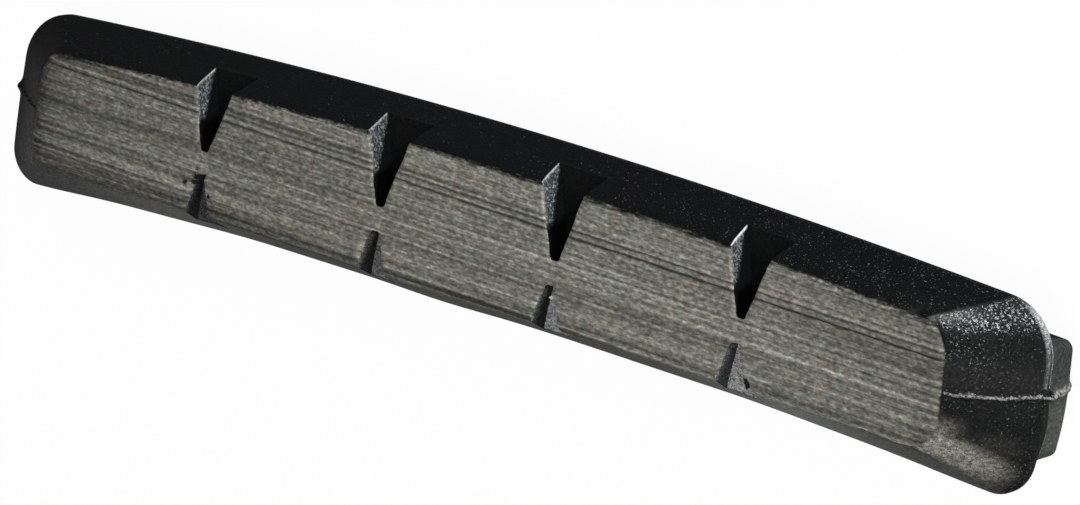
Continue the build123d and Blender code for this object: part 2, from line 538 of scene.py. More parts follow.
# flash where the mould's halves met across both ends, in mm
flashForm = {
    "at": -0.78,               # y at the face
    "height": 0.14,
    "width": 0.085,
    "railRun": (2.0, 2.8),     # z from the rail to the block
    "railHeight": {1: 2.3, -1: 1.2},   # how many times higher it is on the rail, right and left
    "railWidth": {1: 3.4, -1: 1.2},    # how many times wider
    "drift": ((0.3, (5.0, 3.0)), (0.2, (2.4, 0.3))),   # how far it moves over at the right, and over which z
    "bend": (0.05, 0.9),       # how far it wanders, and the cell
    "shake": (0.04, 0.25),     # the same, finer
    "beads": (0.9, 0.22),      # how much its height varies, and the cell
    "topRun": (0.2, 0.6),      # depth below the face over which it comes in
    "endSlack": 0.05,          # how far inside the face's ends the ends' points begin
    "railDeep": 0.6,           # how far from the ends it still runs below the block
    "nub": (2.9, 0.28, 0.3, 0.4),   # torn end of it at the left: z, height, half width, half length
    "pale": (0.9, (2.4, 4.2)),      # how pale the painted highlight on it is on the rail, and z over which it turns fully pale
}
touch = 0.002    # mm, within which a point lies on a flank
slack = 0.01     # mm, within which a point lies on a level
facing = 0.5     # least part of a normal along an axis, where a surface faces that way


def readPoints(mesh):
    # the mesh's points, in mm
    flat = np.empty(len(mesh.vertices) * 3)
    mesh.vertices.foreach_get("co", flat)
    return flat.reshape(-1, 3) / mm


def roundGap(along, across, corner):
    # distance inside a corner rounded between two edges that are along and across away
    both = (along < corner) & (across < corner)
    return np.where(both, corner - np.hypot(corner - along, corner - across), np.minimum(along, across))


def faceGap(side, x, y):
    # plan distance inside the face's outer, +1, or inner, -1, edge and its ends
    edge = side * (sideY(side, np.ones_like(x), x) - y)
    return roundGap(faceEnd - np.abs(x), edge, blockForm["faceCorner"][side])


def grooveGap(x, y):
    # plan distance outside the nearest groove, negative inside one
    fromTip = beyondTip(y)
    gaps = []
    for groove in range(grooveCount):
        left, right = flankX(groove, -1, y), flankX(groove, 1, y)
        aside = np.maximum(left - x, x - right)
        gaps.append(np.where(fromTip >= 0, aside * math.cos(math.radians(grooveForm["flankAngle"])),
                             np.hypot(np.maximum(aside, 0), fromTip)))
    return np.min(gaps, 0)


def insideGrooves(x, y, z, brink):
    # points on the walls and floors of the grooves, from a depth below the face
    return (grooveGap(x, y) < touch) & (faceLevel - z > brink) & (z > floorLevel - slack)


def tornEdges(x, y, depth):
    # sideways wander of the grooves' edges: noise along each edge, dying out across the face and
    # down the wall; every edge has a lane of the noise to itself
    move = np.zeros_like(x)
    size = np.where(y > grooveForm["tipAt"][1], wearForm["tear"][1], wearForm["tear"][-1])
    size = size * smooth(*wearForm["tearRun"], beyondTip(y)) * smooth(wearForm["reach"], 0.0, depth)
    share, cell = wearForm["tearFine"]
    grooveLane, edgeLane = wearForm["tearLanes"]
    for groove in range(grooveCount):
        for hand in (-1, 1):
            near = smooth(wearForm["tearReach"], 0.0, np.abs(x - flankX(groove, hand, y)))
            lane = np.full_like(x, grooveLane * groove + edgeLane * hand)
            fine = share * softNoise(y / cell, lane, "tearFine")
            move += size * near * (fine + softNoise(y / wearForm["tearBroad"], lane, "tearBroad"))
    return move


def grindLines(x, y):
    # stretched noise along the grinding direction: short dashes, long lines and broad bands
    level = y - wearForm["lineSlope"] * x
    total = np.zeros_like(x)
    for name, (along, across, shift, share) in wearForm["grinding"].items():
        total += share * softNoise(x / along + shift, level / across, name)
    return total


def scoreLines(x, y):
    # the deepest grinding lines: bells across straight lines, broken up along their length;
    # every score has a lane of each noise to itself
    depth = np.zeros_like(x)
    sway, swayCell, swayLane = wearForm["scoreWander"]
    change, changeCell, changeLane = wearForm["scoreBreaks"]
    for index, (middle, slope, width, strength) in enumerate(wearForm["scores"]):
        wander = sway * softNoise(x / swayCell, np.full_like(x, swayLane * index), "scoreWander")
        breaks = change * softNoise(x / changeCell, np.full_like(x, changeLane * index), "scoreBreaks")
        line = bell(y - slope * x - wander, middle, width)
        depth = np.maximum(depth, strength * line * (1 - change + breaks))
    return depth


def spots(x, y, places):
    # bells round a few places, each with its own radius and height, with uneven outlines
    total = np.zeros_like(x)
    shake, cell = wearForm["spotShake"]
    x = x + shake * softNoise(x / cell, y / cell, "spotX")
    y = y + shake * softNoise(x / cell, y / cell, "spotY")
    for atX, atY, radius, height in places:
        total = np.maximum(total, height * np.exp(-((x - atX)**2 + (y - atY)**2) / radius**2))
    return total


def rolled(gap, width, amount):
    # fall of a rounded edge: a parabola from its full depth at the edge to nothing a width inside
    return amount * np.clip(1 - gap / width, 0, 1)**2


def edgeFall(x, y, outer, inner, groove):
    # how far the face falls away at its edges, its left end, the grooves and their worn left brinks
    fall = rolled(outer, wearForm["rollWidth"][1], wearForm["rollDepth"][1])
    fall = np.maximum(fall, rolled(inner, wearForm["rollWidth"][-1], wearForm["rollDepth"][-1]))
    fall = np.maximum(fall, rolled(x + faceEnd, wearForm["leftRollWidth"], wearForm["leftRollDepth"]))
    fall = np.maximum(fall, rolled(groove, wearForm["flankRollWidth"], wearForm["flankRoll"]))
    for index, (amount, width) in enumerate(wearForm["brinkRoll"]):
        flank = flankX(index, -1, y)
        here = smooth(0.0, wearForm["brinkRun"], grooveForm["tipAt"][-1] - y) * (x < flank + slack)
        fall = np.maximum(fall, here * rolled(np.abs(flank - x), width, amount))
    change, along, across = wearForm["rollRagged"]
    return fall * (1 + change * softNoise(x / along, y / across, "edgeRoll"))


def flashRidge(x, y, z):
    # flash: a ragged ridge across both ends, as a bell from 0 to 1, how far it stands out,
    # and which points can carry it
    def noise(name):
        amount, cell = flashForm[name]
        return amount * softNoise(z / cell, np.sign(x), "flash" + name.capitalize())

    def onRail(name):
        more = np.where(x > 0, flashForm[name][1], flashForm[name][-1])
        return mix(more, 1.0, smooth(*flashForm["railRun"], z))

    drift = sum(amount * smooth(*run, z) for amount, run in flashForm["drift"]) * (x > 0)
    away = y - flashForm["at"] - drift - noise("bend") - noise("shake")
    ridge = bell(away, 0, flashForm["width"] * onRail("railWidth"))
    nubZ, nubHeight, nubWidth, nubLength = flashForm["nub"]
    nub = nubHeight * bell(z, nubZ, nubLength) * bell(away, 0, nubWidth) * (x < 0)
    onEnd = (np.abs(x) > faceEnd - flashForm["endSlack"]) & (z < faceLevel - flashForm["topRun"][0])
    onEnd &= (np.abs(x) > halfLength - flashForm["railDeep"]) | (z > blockForm["railHeight"])
    out = flashForm["height"] * onRail("railHeight") * (1 + noise("beads")) * ridge
    out = np.maximum(out, nub) * smooth(*flashForm["topRun"], faceLevel - z)
    return ridge, np.where(onEnd, out, 0), onEnd


def bulge(name, y):
    # how far an end stands out at y: a bell
    amount, middle, width = wearForm[name]
    return amount * bell(y, middle, width)


def fromEnd(run, x):
    # 0 further inside the right end than the run's first distance, 1 nearer to it than the second
    return smooth(halfLength - run[0], halfLength - run[1], x)


# ground face: where it ends, and where it is darker or lighter; mm, and shares of full strength
groundForm = {
    "outerFade": 0.55,           # width of the fade at the outer edge
    "outerInset": (0.1, 0.2),    # how far inside that edge it lies, at the left end and further on
    "insetRun": (-24, -12),      # x from the one to the other
    "leftCover": 0.64,           # cover at the left edge
    "leftLoss": 0.95,            # per mm past it
    "leftGain": (0.41, 0.6),     # how much more there is inside it, and how soon
    "rightFade": 0.2,
    "rightInset": 0.02,
    "rightCorner": (1.5, 2.2),   # the right end's outer corner: stretch along the pad, and radius
    "lip": 0.17,                 # how far down the walls the grinding reaches
    "leftLip": (1.8, 0.45),      # how near the left edge it reaches further, and how far
    "innerLip": 0.55,            # the same along the middle blocks' inner edges
    "lipLoss": 9,                # cover lost per mm below that
    "middle": (1.5, (23, 17)),   # x of the middle, and distances that part end blocks from middle ones
    "innerShade": (0.65, (34, 2)),        # strength, and x over which it comes in
    "innerBand": (0.55, 0.018, 0.1),      # its width at mid-length, narrowing per mm, and least
    "innerFull": 0.2,                     # share of that width that is fully shaded
    "innerRagged": (0.3, 6.0, 0.2),       # how uneven it is, in widths, and the cells along and across
    "rightShade": (0.36, (2.4, 0.2)),     # strength, and distance from the right edge
    "rightRagged": (0.4, 0.8, 0.15),
    "leftShade": (0.48, 2.0),             # strength, and how far in from the left edge
    "lastShade": (0.17, (10, 5)),         # along the middle of the last block
    "lastBand": ((-2.0, -1.2), (1.9, 1.0)),   # y of that at its inner and outer edges
    "outerShade": (0.2, (4, 16)),
    "outerBand": (0.9, 0.2),              # distance from the outer edge
    "leftward": (0.14, (4, -26)),         # the whole face, over x
    "leftInner": ((0.05, (6, 0)), (0.17, (-19, -28))),   # its inner half, over x
    "innerHalf": (0.5, -1.5),             # y of that
    "lighter": (0.1, (4, 14)),
    "lighterBand": (-0.6, -1.8),          # y of that
    "brink": (0.3, (0.22, 0.0)),          # outer grooves' left edges, and distance from them
    "brinkRun": (0.8, 1.6),               # distance from the tips
}

# dust and painted light in the grooves, and their bright corners, worn and with painted glints; mm, and
# shares of full strength
grooveDustAndLightForm = {
    "brink": 0.09,                    # depth from which a wall counts as inside a groove
    "depth": (0.7, 0.67, 0.67, 0.5),  # how far down each outer groove's left wall the dust and the painted light on it reach
    "slant": (0.47, 1.75),            # slant of the painted shadow edge: how much further per mm, and from which distance to the tip
    "facing": 0.2,                    # least x of the normal of a wall with dust and painted light
    "floor": (0.16, 1.15),            # bloom and painted light on the inner grooves' floors, from left to right
    "floorRun": (-20, 18),
    "wall": (0.06, 0.42),             # and on their walls, from deep down to the top: darker deep down, a painted shade
    "wallRun": (0.9, 0.05),
    "lastWall": 0.15,                 # more of it in the last groove
    "bloomAndLightRun": 0.4,                  # from the tips, over which it comes in
    "bloomEdge": 0.1,                 # short of the pad's side
    "arrisGlint": (0.4, 0.3, 0.48, 1.0),   # how bright each outer groove's corner with the wall is: worn, with a painted glint
    "arrisBand": (0.15, 0.03),
    "arrisDepth": 1.95,
    "arrisFacing": 0.1,
    "topArris": (0.22, (0.3, 0.05)),  # the same along the face, and depth over which it comes in
    "topRun": (1.4, 2.4),             # distance from the tips
}

# moulded skin, with painted glints, highlights and sheen: turns are ranges of the normal's x, y or z; mm,
# and shares of full strength
skinForm = {
    "hipTurn": ((0.05, 0.2), (0.1, 0.6)),   # the right end's outer hip, x and y
    "rampTurn": (0.2, 0.5),            # both ends' ramps, x
    "rampLevel": 0.3,                  # and their least z
    "innerGlitter": 0.5,               # on the right ramp's inner half
    "outerGlitter": (0.42, 0.7),       # on its outer half, from low down to high up
    "glitterRise": (0.1, 0.8),
    "glitterSide": (0.0, 1.2),         # y from the one half to the other
    "wallGlitter": (0.25, 0.5),        # along the outer wall
    "wallRun": (0, 26),
    "wallTurn": (0.5, 0.8),
    "cornerGlitter": (0.62, (0.1, -0.1), 0.1),   # past the face's right corner, how far, and how deep
    # scuff with a painted sheen on the right end's inner hip
    "scuffAndSheenTurn": ((0.06, 0.3), (-0.05, -0.35), (-0.78, -0.5)),   # the right end's inner hip, x, y and y
    "scuffAndSheenRise": (0.0, 0.35),
    "scuffAndSheenTone": (0.4, 1.08),          # from low down to high up
    "scuffAndSheenSide": (-1.0, -2.2),
    "rampScuffAndSheen": (0.5, (0.65, 1.0)),   # on the ramp beside it, over the rise
    "rampSide": (-1.7, -2.9),
    "endInset": 3.3,                   # how far in from the right end its upright faces reach
    "endFacing": 0.2,
    "endSlack": 0.02,
    "cornerHighlight": (1.05, (0.98, 0.8), (0.3, 0.6)),   # painted highlight on the land's outer corner, over x of the normal
    # the grey film, much of it painted sheen, reflection and light
    "rightFilmAndSheen": (0.08, 0.1, 0.4, 1.0),   # even part, then a bell: how much, at which y, and how wide
    "leftFilmAndSheen": (0.254, 0.081, 0.05),  # at mid-width, less per mm outwards, and least
    "leftFilmAndSheenRise": (0.15, 1.8),       # share at the base, and how much more at the top
    "hipHighlight": (0.2, 1.2),
    "hipHighlightTurn": (0.55, 0.85),
    "hipHighlightRise": (0.3, 0.9),
    "innerSheen": (0.78, 0.2),          # painted sheen on the inner wall, and how much less at the left end
    "innerSheenRun": (-24, -32),
    "innerSheenBells": ((0.45, -21, 5), (1.15, 21, 5.5)),   # more of it: how much, x, width
    "innerTurn": (-0.5, -0.8),
    "edgeTurn": ((-0.1, -0.5), (0.1, 0.0)),   # the face's inner rounded edge, y and x
    "floorLight": (0.04, (2.0, 4.5)),   # painted light on the outer grooves' floors towards their mouths, and distance from the tips
    "landSheen": (0.12, 0.3),           # painted sheen on the right land, and how much more on its outer half
    "landSide": (-0.3, 0.5),
    "railSheen": (0.46, 0.82),          # painted sheen on the rail's right end, from outside to inside
    "railSide": (1, -2),
    "railFoot": (0.0, 0.35),           # z over which it comes in
}


def readPlaces(x, y, z, nx, ny, nz):
    # where each point lies on the pad and which way it faces
    at = SimpleNamespace(x=x, y=y, z=z, nx=nx, ny=ny, nz=nz)
    at.depth = faceLevel - z
    at.rise = np.clip((z - baseLevel) / blockHeight, 0, 1)
    at.outer = sideY(1, np.ones_like(x), x) - y
    at.inner = y - sideY(-1, np.ones_like(x), x)
    at.fromLeft, at.fromRight = x + faceEnd, faceEnd - x
    at.fromTip = beyondTip(y)
    at.outerHalf, at.innerHalf = y > grooveForm["tipAt"][1], y < grooveForm["tipAt"][-1]
    at.inGroove = insideGrooves(x, y, z, grooveDustAndLightForm["brink"])
    nearest = np.rint(x / grooveForm["pitch"] + (grooveCount - 1) / 2)
    at.nearest = np.clip(nearest, 0, grooveCount - 1).astype(int)
    at.right = x > 0
    at.block = z > blockForm["railHeight"] - slack
    stretch, radius = groundForm["rightCorner"]
    at.corner = roundGap(stretch * at.fromRight, at.outer, radius)
    return at


def groundCover(at):
    # half at the ground face's edge: it fades over the outer edge, thins out at the left end and
    # stops short elsewhere
    form = groundForm
    gain, run = form["leftGain"]
    within = gain * (1 - np.exp(-np.maximum(at.fromLeft, 0) / run))
    thin = form["leftCover"] + np.where(at.fromLeft < 0, form["leftLoss"] * at.fromLeft, within)
    inset = mix(*form["outerInset"], smooth(*form["insetRun"], at.x))
    cover = np.minimum(0.5 + (at.outer - inset) / form["outerFade"], thin)
    cover = np.minimum(cover, 0.5 + (at.fromRight - form["rightInset"]) / form["rightFade"])
    rounded = 0.5 + (at.corner - form["rightInset"]) / form["rightFade"]
    cover = np.where(at.right & (at.y > 0), np.minimum(cover, rounded), cover)
    centre, run = form["middle"]
    near, leftLip = form["leftLip"]
    innerLip = mix(form["lip"], form["innerLip"], smooth(*run, np.abs(at.x - centre)))
    lip = np.where(at.fromLeft < near, leftLip, form["lip"])
    lip = np.where(at.ny < -facing, innerLip, lip)
    cover = np.clip(cover, -1, 2) - np.maximum(at.depth - lip, 0) * form["lipLoss"]
    return np.where(at.inGroove, -1, np.maximum(cover, -1))


def groundShade(at):
    # how much darker the ground face is towards its inner edge and both ends, most at the left,
    # and how much lighter along the grooves' left edges and inside the right blocks
    form = groundForm

    def ragged(name):
        amount, along, across = form[name + "Ragged"]
        return amount, softNoise(at.x / along, at.y / across, name + "Shade")

    amount, run = form["innerShade"]
    width, taper, least = form["innerBand"]
    width = np.maximum(width - taper * at.x, least)
    uneven, noise = ragged("inner")
    band = smooth(width, form["innerFull"] * width, at.inner + uneven * width * noise)
    shade = amount * smooth(*run, at.x) * band
    amount, run = form["rightShade"]
    uneven, noise = ragged("right")
    shade = np.maximum(shade, amount * smooth(*run, at.fromRight + uneven * noise))
    amount, width = form["leftShade"]
    shade = np.maximum(shade, amount * bell(np.maximum(at.fromLeft, 0), 0, width))
    amount, run = form["lastShade"]
    inside, outside = (smooth(*edge, at.y) for edge in form["lastBand"])
    shade = np.maximum(shade, amount * smooth(*run, at.fromRight) * inside * outside)
    amount, run = form["outerShade"]
    shade = np.maximum(shade, amount * smooth(*run, at.x) * smooth(*form["outerBand"], at.outer))
    amount, run = form["leftward"]
    inner = sum(more * smooth(*over, at.x) for more, over in form["leftInner"])
    shade = mix(shade, 1.0, amount * smooth(*run, at.x) + inner * smooth(*form["innerHalf"], at.y))

    amount, run = form["lighter"]
    lighter = amount * smooth(*run, at.x) * smooth(*form["lighterBand"], at.y)
    amount, run = form["brink"]
    brink = smooth(*run, grooveGap(at.x, at.y)) * (at.x < grooveMiddle(at.nearest))
    lighter = lighter + amount * brink * smooth(*form["brinkRun"], at.y - grooveForm["tipAt"][1])
    return shade, lighter


def grooveDustAndLight(at):
    # dust and painted light on the outer grooves' left walls, above 0 where they lie and ending aslant
    # before the tip along a painted shadow edge, pale bloom with painted light in the inner grooves, and the
    # bright corners where the dusty walls meet the pad's side, worn and with painted glints
    form = grooveDustAndLightForm
    # dust and painted light: a wall counts as lit down to a depth that slants up towards the tip, along a
    # painted shadow edge
    slope, start = form["slant"]
    beyond = at.fromTip - start
    reach = np.minimum(np.array(form["depth"])[at.nearest] + slope * beyond - at.depth, beyond)
    dustAndLight = np.where(at.inGroove & (at.nx > form["facing"]) & at.outerHalf, reach, -1)

    # bloom with painted light: brighter on the floors that face up than on the walls, and on the walls
    # towards the top
    floor = mix(*form["floor"], smooth(*form["floorRun"], at.x))
    wall = mix(*form["wall"], smooth(*form["wallRun"], at.depth))
    wall = wall + form["lastWall"] * (at.nearest == grooveCount - 1)
    bloom = np.where(at.nz > facing, floor, wall) * (at.inGroove & at.innerHalf)
    bloom = bloom * smooth(0.0, form["bloomAndLightRun"], at.fromTip)
    bloom = bloom * smooth(0.0, form["bloomEdge"], at.y - sideY(-1, at.rise, at.x))

    # bright corners of the lit walls: wear with a painted glint along them
    lit = at.inGroove & (at.nx > form["arrisFacing"]) & at.outerHalf & (at.depth < form["arrisDepth"])
    arrisGlint = smooth(*form["arrisBand"], sideY(1, at.rise, at.x) - at.y) * np.array(form["arrisGlint"])[at.nearest]
    amount, run = form["topArris"]
    arrisGlint = np.maximum(arrisGlint, amount * smooth(*run, at.depth) * smooth(*form["topRun"], at.fromTip))
    return dustAndLight, bloom, lit * arrisGlint


def skinMasks(at, bloom):
    # painted glints along the right end's outer hip, scuffing and painted sheen along its inner hip, a
    # painted highlight on its land's corner, and the grey film, much of it painted sheen and reflection:
    # thin on both ramps, thicker on the inner wall, the right land and the rail's end
    form = skinForm
    plain = at.block & ~at.inGroove
    overX, overY = form["hipTurn"]
    hip = smooth(*overX, at.nx) * smooth(*overY, at.ny) * (at.right & plain)
    ramp = smooth(*form["rampTurn"], np.abs(at.nx)) * ((at.nz > form["rampLevel"]) & plain)

    # glitter: painted glints of a highlight on the right end's hip and ramp, along the outer wall and past
    # the face's right corner
    outer = mix(*form["outerGlitter"], smooth(*form["glitterRise"], at.rise))
    glitter = mix(form["innerGlitter"], outer, smooth(*form["glitterSide"], at.y)) * ramp * at.right
    glitter = np.maximum(hip, glitter)
    wall = mix(*form["wallGlitter"], smooth(*form["wallRun"], at.x)) * smooth(*form["wallTurn"], at.ny)
    glitter = np.maximum(glitter, wall * at.block)
    amount, run, deep = form["cornerGlitter"]
    past = at.right & (at.y > 0) & (at.depth < deep)
    glitter = np.maximum(glitter, amount * smooth(*run, at.corner) * past)
    glitter = np.where(at.inGroove, -1.0, glitter)

    # scuffing with a painted sheen on the inner hip, stronger higher up
    overX, overY, lastY = form["scuffAndSheenTurn"]
    scuffAndSheen = smooth(*overX, at.nx) * smooth(*overY, at.ny) * smooth(*lastY, at.ny) * (at.right & plain)
    scuffAndSheen = scuffAndSheen * smooth(*form["scuffAndSheenRise"], at.rise) * mix(*form["scuffAndSheenTone"], at.rise)
    scuffAndSheen = scuffAndSheen * smooth(*form["scuffAndSheenSide"], at.y)
    amount, run = form["rampScuffAndSheen"]
    beside = amount * ramp * at.right * smooth(*run, at.rise) * smooth(*form["rampSide"], at.y)
    scuffAndSheen = np.maximum(scuffAndSheen, beside)

    upright = (at.x > halfLength - form["endInset"]) & (at.z < baseLevel + form["endSlack"])
    upright = upright & (at.nz < facing) & (at.nx > form["endFacing"])
    # a painted highlight along the right land's outer corner, carried by the same mark as the bloom
    amount, first, second = form["cornerHighlight"]
    onCorner = amount * smooth(*first, at.nx) * smooth(*second, at.nx)
    bloom = np.where(upright & at.block & (at.y > 0), onCorner, bloom)

    # the grey film, much of it painted sheen and reflection, with a painted highlight on the hip's crest and
    # painted light near the groove mouths
    even, more, middle, width = form["rightFilmAndSheen"]
    rightFilmAndSheen = even + more * bell(at.y, middle, width)
    even, less, least = form["leftFilmAndSheen"]
    share, more = form["leftFilmAndSheenRise"]
    leftFilmAndSheen = np.maximum(even - less * at.y, least) * (share + more * at.rise)
    filmAndSheen = ramp * np.where(at.right, rightFilmAndSheen, leftFilmAndSheen)
    high = smooth(*form["hipHighlightTurn"], at.ny) * smooth(*form["hipHighlightRise"], at.rise)
    filmAndSheen = np.maximum(filmAndSheen, hip * mix(*form["hipHighlight"], high))
    even, less = form["innerSheen"]
    lengthwise = even - less * smooth(*form["innerSheenRun"], at.x)
    for more, middle, width in form["innerSheenBells"]:
        lengthwise = lengthwise + more * bell(at.x, middle, width)
    filmAndSheen = np.maximum(filmAndSheen, smooth(*form["innerTurn"], at.ny) * lengthwise * at.block)
    overY, overX = form["edgeTurn"]
    filmAndSheen = np.maximum(filmAndSheen, smooth(*overY, at.ny) * smooth(*overX, at.nx) * lengthwise * plain)
    amount, run = form["floorLight"]
    floor = at.inGroove & (at.nz > facing) & at.outerHalf
    filmAndSheen = np.where(floor, amount * smooth(*run, at.fromTip), filmAndSheen)
    even, more = form["landSheen"]
    land = even + more * smooth(*form["landSide"], at.y)
    rail = mix(*form["railSheen"], smooth(*form["railSide"], at.y)) * smooth(*form["railFoot"], at.z)
    filmAndSheen = np.where(upright, np.where(at.block, land, rail), filmAndSheen)
    return {"glitter": glitter, "scuffAndSheen": scuffAndSheen, "bloom": bloom, "filmAndSheen": filmAndSheen}


def wearPad(mesh):
    x, y, z = readPoints(mesh).T.copy()
    evenX, evenY = x.copy(), y.copy()
    depth = faceLevel - z
    outer, inner = faceGap(1, x, y), faceGap(-1, x, y)
    groove = grooveGap(x, y)
    print("face and grooves:", int((depth < touch).sum()), "and",
          int(insideGrooves(x, y, z, touch).sum()), "points")

    # the face ground, rounded at its edges, nicked and torn
    fade = np.clip(1 - depth / wearForm["reach"], 0, 1)
    grind = wearForm["lineDepth"] * grindLines(x, y) - wearForm["scoreDepth"] * scoreLines(x, y)
    nearEdge = np.minimum(np.minimum(outer, inner), np.maximum(groove, 0))
    grind = grind * smooth(0.0, wearForm["grindInset"], nearEdge)
    pits = spots(x, y, wearForm["nicks"])
    torn = spots(x, y, [(atX, atY, radius, 1.0) for atX, atY, radius in wearForm["flakes"]])
    move = tornEdges(x, y, depth)
    aside, up = wearForm["flakeMove"]
    z += fade * (grind - edgeFall(x, y, outer, inner, groove) - pits + up * torn)
    x += move + aside * torn * fade

    # the flash raised square to the ends' ramps
    ridge, out, onEnd = flashRidge(x, y, z)
    slopeX = np.where(z > baseLevel, blockHeight, 1.0)
    slopeZ = np.where(z > baseLevel, blockForm["endRun"], 0.0)
    length = np.hypot(slopeX, slopeZ)
    x += np.sign(x) * out * slopeX / length
    z += out * slopeZ / length

    # departures from the even form: ends that bulge, a rail that tapers, and waves along the inner side
    onBlock = smooth(blockForm["railHeight"] - wearForm["railBlend"], blockForm["railHeight"], z)
    rightBulge = mix(bulge("railBulge", evenY), bulge("endBulge", evenY), onBlock)
    x += rightBulge * fromEnd(wearForm["bulgeRun"], evenX)
    x -= bulge("leftBulge", evenY) * fromEnd(wearForm["bulgeRun"], -evenX)
    taper = wearForm["railTaper"] * smooth(*wearForm["taperSide"], evenY)
    y += taper * fromEnd(wearForm["taperRun"], evenX) * (1 - onBlock)
    for middle, width, out in wearForm["innerWaves"]:
        y -= out * bell(evenX, middle, width) * smooth(*wearForm["waveSide"], evenY) * onBlock
    mesh.vertices.foreach_set("co", (np.stack([x, y, z], -1) * mm).ravel())
    mesh.update()

    # how far each finish and each painted light, shade, glint and sheen reaches, kept as attributes for the
    # material
    normal = np.empty(len(mesh.vertices) * 3)
    mesh.vertices.foreach_get("normal", normal)
    at = readPlaces(evenX, evenY, z, *normal.reshape(-1, 3).T)
    masks = {"cover": groundCover(at)}
    masks["shade"], masks["lighter"] = groundShade(at)
    masks["dustAndLight"], bloom, masks["arrisGlint"] = grooveDustAndLight(at)
    masks.update(skinMasks(at, bloom))
    # the right end's flash is painted pale, a highlight on its lit fin; on the left one the film is taken
    # off, a painted shadow
    pale, run = flashForm["pale"]
    masks["flash"] = np.where(onEnd & (x > 0), ridge * mix(pale, 1.0, smooth(*run, z)), 0)
    masks["filmAndSheen"] = masks["filmAndSheen"] * np.where(onEnd & (x < 0), 1 - ridge, 1)
    masks["pit"] = np.clip(pits / wearForm["darkNick"], 0, 1) * fade
    masks["flake"] = torn * fade
    for name, values in masks.items():
        layer = mesh.attributes.new(name, "FLOAT", "POINT")
        layer.data.foreach_set("value", values.astype(np.float32))
    print("worn pad:", len(masks), "finishes marked")


creaseAngle = 32   # degrees, above which an edge stays sharp
wearPad(padMesh)
padMesh.shade_smooth()
padMesh.set_sharp_from_angle(angle=math.radians(creaseAngle))
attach(pad, "root")
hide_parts(padNode)


def put(tree, kind, inputs=(), **settings):
    # adds a node: each input is a value, or another node's output to link
    node = tree.nodes.new(kind)
    for name, value in settings.items():
        setattr(node, name, value)
    for name, value in dict(inputs).items():
        if isinstance(value, bpy.types.NodeSocket):
            tree.links.new(value, node.inputs[name])
        else:
            node.inputs[name].default_value = value
    return node


def blend(tree, share, first, second):
    # colour mix: indices, because the node's sockets share their names
    node = put(tree, "ShaderNodeMix", {0: share, 6: first, 7: second}, data_type="RGBA")
    return node.outputs[2]


def scaled(tree, colour, amount):
    return put(tree, "ShaderNodeVectorMath", {0: colour, "Scale": amount}, operation="SCALE").outputs[0]


def calc(tree, operation, first, second=0.0):
    return put(tree, "ShaderNodeMath", {0: first, 1: second}, operation=operation).outputs[0]


def ease(tree, value, low, high, start=0.0, end=1.0):
    node = put(tree, "ShaderNodeMapRange", {"Value": value, "From Min": low, "From Max": high,
                                            "To Min": start, "To Max": end}, interpolation_type="SMOOTHSTEP")
    return node.outputs["Result"]


noiseMiddle = 0.5   # of a noise texture's values


def swing(tree, noise, gains):
    # adds up noises, each as how far it lies from its middle, times its gain
    total = None
    for name, gain in gains.items():
        part = calc(tree, "MULTIPLY", calc(tree, "SUBTRACT", noise[name], noiseMiddle), gain)
        total = part if total is None else calc(tree, "ADD", total, part)
    return total


def attribute(tree, name):
    return put(tree, "ShaderNodeAttribute", attribute_name=name).outputs["Fac"]


def grainNoise(tree, coords, scale, detail, stretch):
    # noise with scale cells per mm, drawn out along x by stretch
    cells = [scale / (mm * part) for part in (stretch, 1, stretch)]
    place = put(tree, "ShaderNodeMapping", {"Vector": coords, "Scale": cells})
    return put(tree, "ShaderNodeTexNoise", {"Vector": place.outputs[0], "Scale": 1.0, "Detail": detail,
                                            "Roughness": 0.5}).outputs["Fac"]


